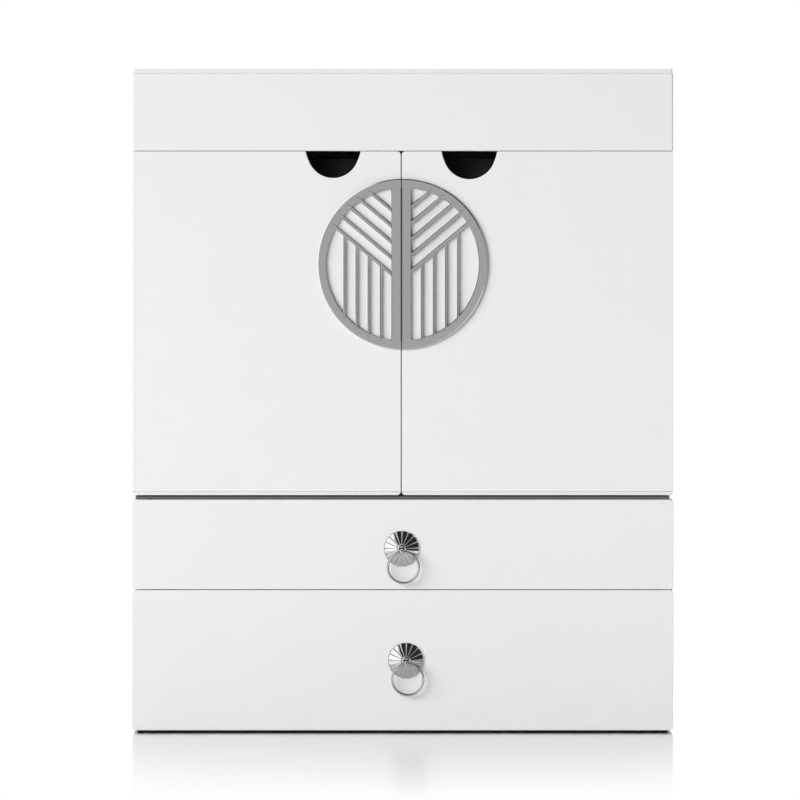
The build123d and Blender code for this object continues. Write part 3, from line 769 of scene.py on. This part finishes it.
def rosette_mesh(centre, radius, height):
    """A low cone in petals: a sharp groove between each two, and every petal's end rounded."""
    top = height - rosette_sink
    profile = [(rosette_hole, top)]
    for ring in range(cone_rings + 1):
        share = ring / cone_rings
        fall = (height - rosette_rim) * (cone_share * share + (1 - cone_share) * share**3)
        profile.append((boss_radius + share * (radius - boss_radius), top - fall))
    profile += [(radius, rosette_rim / 2), (radius, 0.0)]

    mesh = spun(profile, centre, petal_count * petal_steps)
    painted_shade = mesh.verts.layers.float.new("painted_shade")
    for vert in mesh.verts:
        across, up = vert.co.x - centre.x, vert.co.z - centre.z
        share_of_petal = (atan2(up, across) * petal_count / tau) % 1
        off_middle = abs(2 * share_of_petal - 1)
        groove = off_middle**groove_sharpness
        outwards = max(0.0, (hypot(across, up) - boss_radius) / (radius - boss_radius))
        trim = 1 - petal_scallop * off_middle**end_roundness * outwards**4
        if vert.co.y < centre.y - rosette_rim / 4:
            vert.co.y += petal_groove * groove * outwards**0.5
        vert.co.x = centre.x + across * trim
        vert.co.z = centre.z + up * trim
        # Painted shade in the grooves between petals and, stronger, on the rosette under the boss.
        vert[painted_shade] = groove_painted_shade * groove if outwards > 0 else under_boss_painted_shade
    return mesh


boss_steps = 64
boss_reach = 3.4 * mm
boss_edge = 0.6 * mm
boss_edge_angles = (pi / 2, pi / 3, pi / 6, 0)
boss_crown = 0.1 * mm
boss_crown_radius = 0.4 * boss_radius
slot_half_length = 1.4 * mm
slot_half_width = 0.5 * mm
slot_depth = 0.9 * mm
# Painted shade on the slot's rim and, darkest, on its floor.
slot_rim_painted_shade = 0.6
slot_floor_painted_shade = 1.0
eye_drop = 1.75 * mm
eye_reach = 4.6 * mm
eye_middle_radius = 1.42 * mm
eye_wire = 0.47 * mm
eye_half_width = 0.9 * mm
eye_sides = 16
eye_steps = 40
stem_radius = 1.5 * mm
stem_sides = 24


def slotted_boss_mesh(centre):
    """A round boss with a rounded edge and a low crown, and a level slot cut into its face."""
    profile = [(boss_radius, 0.0)]
    for angle in boss_edge_angles:
        radius = boss_radius - boss_edge * (1 - sin(angle))
        profile.append((radius, boss_reach - boss_edge * (1 - cos(angle))))
    profile.append((boss_crown_radius, boss_reach + boss_crown))

    mesh = spun(profile, centre, boss_steps)
    painted_shade = mesh.verts.layers.float.new("painted_shade")
    half_way = centre.y - boss_reach / 2
    crown = [edge for edge in mesh.edges if edge.is_boundary and edge.verts[0].co.y < half_way]
    bmesh.ops.contextual_create(mesh, geom=crown)

    # The slot is scored into the crown and then sunk, and its rim and floor get painted shade.
    for axis, half in ((Vector((1, 0, 0)), slot_half_length), (Vector((0, 0, 1)), slot_half_width)):
        for direction in (-1, 1):
            everything = [*mesh.verts, *mesh.edges, *mesh.faces]
            cut = centre + axis * (direction * half)
            bmesh.ops.bisect_plane(mesh, geom=everything, plane_co=cut, plane_no=axis)
    slot_faces = [
        face
        for face in mesh.faces
        if abs(face.calc_center_median().x - centre.x) < slot_half_length
        and abs(face.calc_center_median().z - centre.z) < slot_half_width
        and face.calc_center_median().y < half_way
    ]
    for vert in {vert for face in slot_faces for vert in face.verts}:
        vert[painted_shade] = slot_rim_painted_shade
    slot_floor = bmesh.ops.extrude_face_region(mesh, geom=slot_faces)["geom"]
    floor_verts = [item for item in slot_floor if isinstance(item, bmesh.types.BMVert)]
    bmesh.ops.delete(mesh, geom=slot_faces, context="FACES")
    bmesh.ops.translate(mesh, vec=(0, slot_depth, 0), verts=floor_verts)
    for vert in floor_verts:
        vert[painted_shade] = slot_floor_painted_shade
    return mesh


def add_eye(mesh, centre):
    """Add the eye under the boss that the ring hangs in: an oval section spun about a level axis."""
    eye_centre = centre + Vector((0, -eye_reach, -eye_drop))
    section = bmesh.ops.create_circle(
        mesh,
        radius=1.0,
        segments=eye_sides,
        matrix=Matrix.Translation(eye_centre + Vector((0, 0, eye_middle_radius)))
        @ Matrix.Diagonal((eye_half_width, 1, eye_wire, 1))
        @ Matrix.Rotation(pi / 2, 4, "X"),
    )["verts"]
    section_edges = list({edge for vert in section for edge in vert.link_edges})
    full_turn(mesh, [*section, *section_edges], eye_centre, (1, 0, 0), eye_steps)


ring_sides = 20
ring_steps = 120
# Painted shade along both sides of the ring's wire, darkest at its inner and outer edge.
ring_side_painted_shade = 0.75


def wire_ring_mesh(centre, radius, wire):
    """A closed ring of round wire, darkened by painted shade along its inner and its outer side."""
    mesh = bmesh.new()
    bmesh.ops.create_circle(
        mesh,
        radius=wire,
        segments=ring_sides,
        matrix=Matrix.Translation(centre + Vector((0, 0, radius))) @ Matrix.Rotation(pi / 2, 4, "Y"),
    )
    full_turn(mesh, [*mesh.verts, *mesh.edges], centre, (0, 1, 0), ring_steps)
    painted_shade = mesh.verts.layers.float.new("painted_shade")
    # Painted shade grows with the distance from the wire's middle line.
    for vert in mesh.verts:
        from_wire = hypot(vert.co.x - centre.x, vert.co.z - centre.z) - radius
        vert[painted_shade] = ring_side_painted_shade * (from_wire / wire) ** 2
    return mesh


for name in ("upper", "lower"):
    body = f"{name}_drawer"
    node = f"{name}_pull_rosette"
    low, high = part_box(node)
    centre = Vector(((low.x + high.x) / 2, high.y, (low.z + high.z) / 2))
    rosette = rosette_mesh(centre, (high.x - low.x) / 2, high.y - low.y)
    finished_piece(rosette, f"{name}_pull_petals", body, chrome, "chrome_pull", node)

    node = f"{name}_pull_eye"
    low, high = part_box(node)
    boss = slotted_boss_mesh(centre)
    add_eye(boss, centre)
    add_peg(boss, centre, stem_radius, high.y - centre.y, stem_sides)
    finished_piece(boss, f"{name}_pull_boss", body, chrome, "chrome_pull", node)
    dress_nodes(steel, f"{name}_pull_nut")

    node = f"{name}_pull_ring"
    low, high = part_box(node)
    wire = (high.y - low.y) / 2
    ring = wire_ring_mesh((low + high) / 2, (high.x - low.x) / 2 - wire, wire)
    finished_piece(ring, f"{name}_pull_wire_ring", f"{name}_ring", chrome, "chrome_pull", node)

# Floor. A gloss white table that mirrors the cabinet's foot at a low angle, and that the light
# burns out to plain white away from the cabinet.
table_half_width = 0.9
gloss_starts_to_fade = 0.18
gloss_gone = 0.68
table_tone = 0.7
table_roughness = 0.15
least_mirroring = 0.04
mirroring_starts = 0.70
mirroring_full = 0.92

table_mesh = bmesh.new()
bmesh.ops.create_grid(table_mesh, x_segments=1, y_segments=1, size=table_half_width)
table_data = bpy.data.meshes.new("table")
table_mesh.to_mesh(table_data)
table_mesh.free()
table = bpy.data.objects.new("table", table_data)
bpy.context.scene.collection.objects.link(table)

table_finish = bpy.data.materials.new("Gloss white table")
table_finish.use_nodes = True
table_tree = table_finish.node_tree
table_tree.nodes.clear()
shade = Shade(table_tree)
place = shade.node("TexCoord", output="Object")
distance = place.node("VectorMath", {"operation": "LENGTH"}, {0: place}, output="Value")
burnt_out = distance.step(gloss_starts_to_fade, gloss_gone)
facing = shade.node("LayerWeight", output="Facing")
low_angle = facing.step(mirroring_starts, mirroring_full)
mirroring = low_angle * (1 - least_mirroring) + least_mirroring
matt = shade.node("BsdfDiffuse", None, {"Color": (table_tone, table_tone, table_tone, 1)})
gloss = shade.node("BsdfGlossy", None, {"Color": (1, 1, 1, 1), "Roughness": table_roughness})
surface = shade.node("MixShader", None, {0: mirroring, 1: matt, 2: gloss})
glow = shade.node("Emission", None, {"Color": (1, 1, 1, 1), "Strength": 1.0})
surface = shade.node("MixShader", None, {0: burnt_out, 1: surface, 2: glow})
table_output = table_tree.nodes.new("ShaderNodeOutputMaterial")
table_tree.links.new(surface.socket, table_output.inputs["Surface"])
table_data.materials.append(table_finish)

# Light. A large softbox to the left of the camera, a small one far to the right, one overhead, and
# a white backdrop. Polished metal mirrors a dim room with a white wall on the left and a grey one on
# the right and behind the camera, but not the large softbox, so its highlights don't burn out.
light_aim = Vector((0, 0, 0.18))


def softbox(name, azimuth, elevation, distance, width, height, power):
    """A rectangular light that faces the cabinet. Azimuth is to the right of the camera's line."""
    turn, lift = radians(azimuth), radians(elevation)
    direction = Vector((sin(turn) * cos(lift), -cos(turn) * cos(lift), sin(lift)))
    data = bpy.data.lights.new(name, "AREA")
    data.shape = "RECTANGLE"
    data.size = width
    data.size_y = height
    data.energy = power
    light = bpy.data.objects.new(name, data)
    light.location = light_aim + direction * distance
    light.rotation_euler = direction.to_track_quat("Z", "Y").to_euler()
    bpy.context.scene.collection.objects.link(light)
    return light


key = softbox(
    "key_softbox", azimuth=-45, elevation=15, distance=5.0, width=4.4, height=2.5, power=250
)
key.visible_glossy = False
softbox("fill_softbox", azimuth=100, elevation=10, distance=2.4, width=0.9, height=1.4, power=5)
softbox("top_softbox", azimuth=0, elevation=86, distance=1.8, width=1.6, height=1.2, power=4)

# Polished metal mirrors a darker room, with brighter panels, than the one that lights the boards.
# Each pair says where a panel fades in, as a share of the ray's direction along or across.
mirrored_backdrop = 1.15
mirrored_backdrop_edge = (0.4, 0.9)
backdrop_light = 0.9
backdrop_edge = (-0.15, 0.35)
mirrored_room = 0.03
room_light = 0.12
camera_side_grey = 0.5
camera_side_edge = (0.955, 0.985)
right_side_grey = 0.5
right_side_edge = (0.68, 0.82)
left_wall_glow = 1.55
left_wall_edge = (0.2, 0.34)
left_wall_end = (0.35, 0.55)

world = bpy.data.worlds.new("Studio")
world.use_nodes = True
bpy.context.scene.world = world
world_tree = world.node_tree
world_tree.nodes.clear()
shade = Shade(world_tree)
direction = shade.node("TexCoord", output="Generated")
along = shade.node("SeparateXYZ", None, {"Vector": direction}, output="Y")
across = shade.node("SeparateXYZ", None, {"Vector": direction}, output="X")
polished = shade.node("LightPath", output="Is Glossy Ray")
behind = polished.blend(along.step(*backdrop_edge), along.step(*mirrored_backdrop_edge))
camera_side = (0 - along).step(*camera_side_edge)
right_side = across.step(*right_side_edge)
left_wall = (0 - across).step(*left_wall_edge) * (0 - along).step(*left_wall_end)
panels = camera_side * camera_side_grey + right_side * right_side_grey + left_wall * left_wall_glow
room = polished.blend(room_light, mirrored_room + panels)
lit_room = behind.blend(room, polished.blend(backdrop_light, mirrored_backdrop))
seen = shade.node("LightPath", output="Is Camera Ray")
lit_room = seen.blend(lit_room, 1.0)
background = shade.node("Background", None, {"Color": lit_room, "Strength": 1.0})
world_output = world_tree.nodes.new("ShaderNodeOutputWorld")
world_tree.links.new(background.socket, world_output.inputs["Surface"])

# Camera. Level with the middle of the cabinet and square to its front, with a long lens from
# three metres, so that no side of the cabinet shows.
camera_distance = 3.0
camera_offset = -1.4 * mm
camera_height = 184.2 * mm
view_width = 443.2 * mm
pull_reach = 6.5 * mm

camera_data = bpy.data.cameras.new("camera")
camera_data.sensor_width = 36.0
camera_data.lens = camera_data.sensor_width * camera_distance / view_width
camera = bpy.data.objects.new("camera", camera_data)
front_of_doors = cad_box[0].y + pull_reach
camera.location = (camera_offset, front_of_doors - camera_distance, camera_height)
camera.rotation_euler = (pi / 2, 0, 0)
bpy.context.scene.collection.objects.link(camera)
bpy.context.scene.camera = camera
bpy.context.scene.view_settings.view_transform = "Standard"
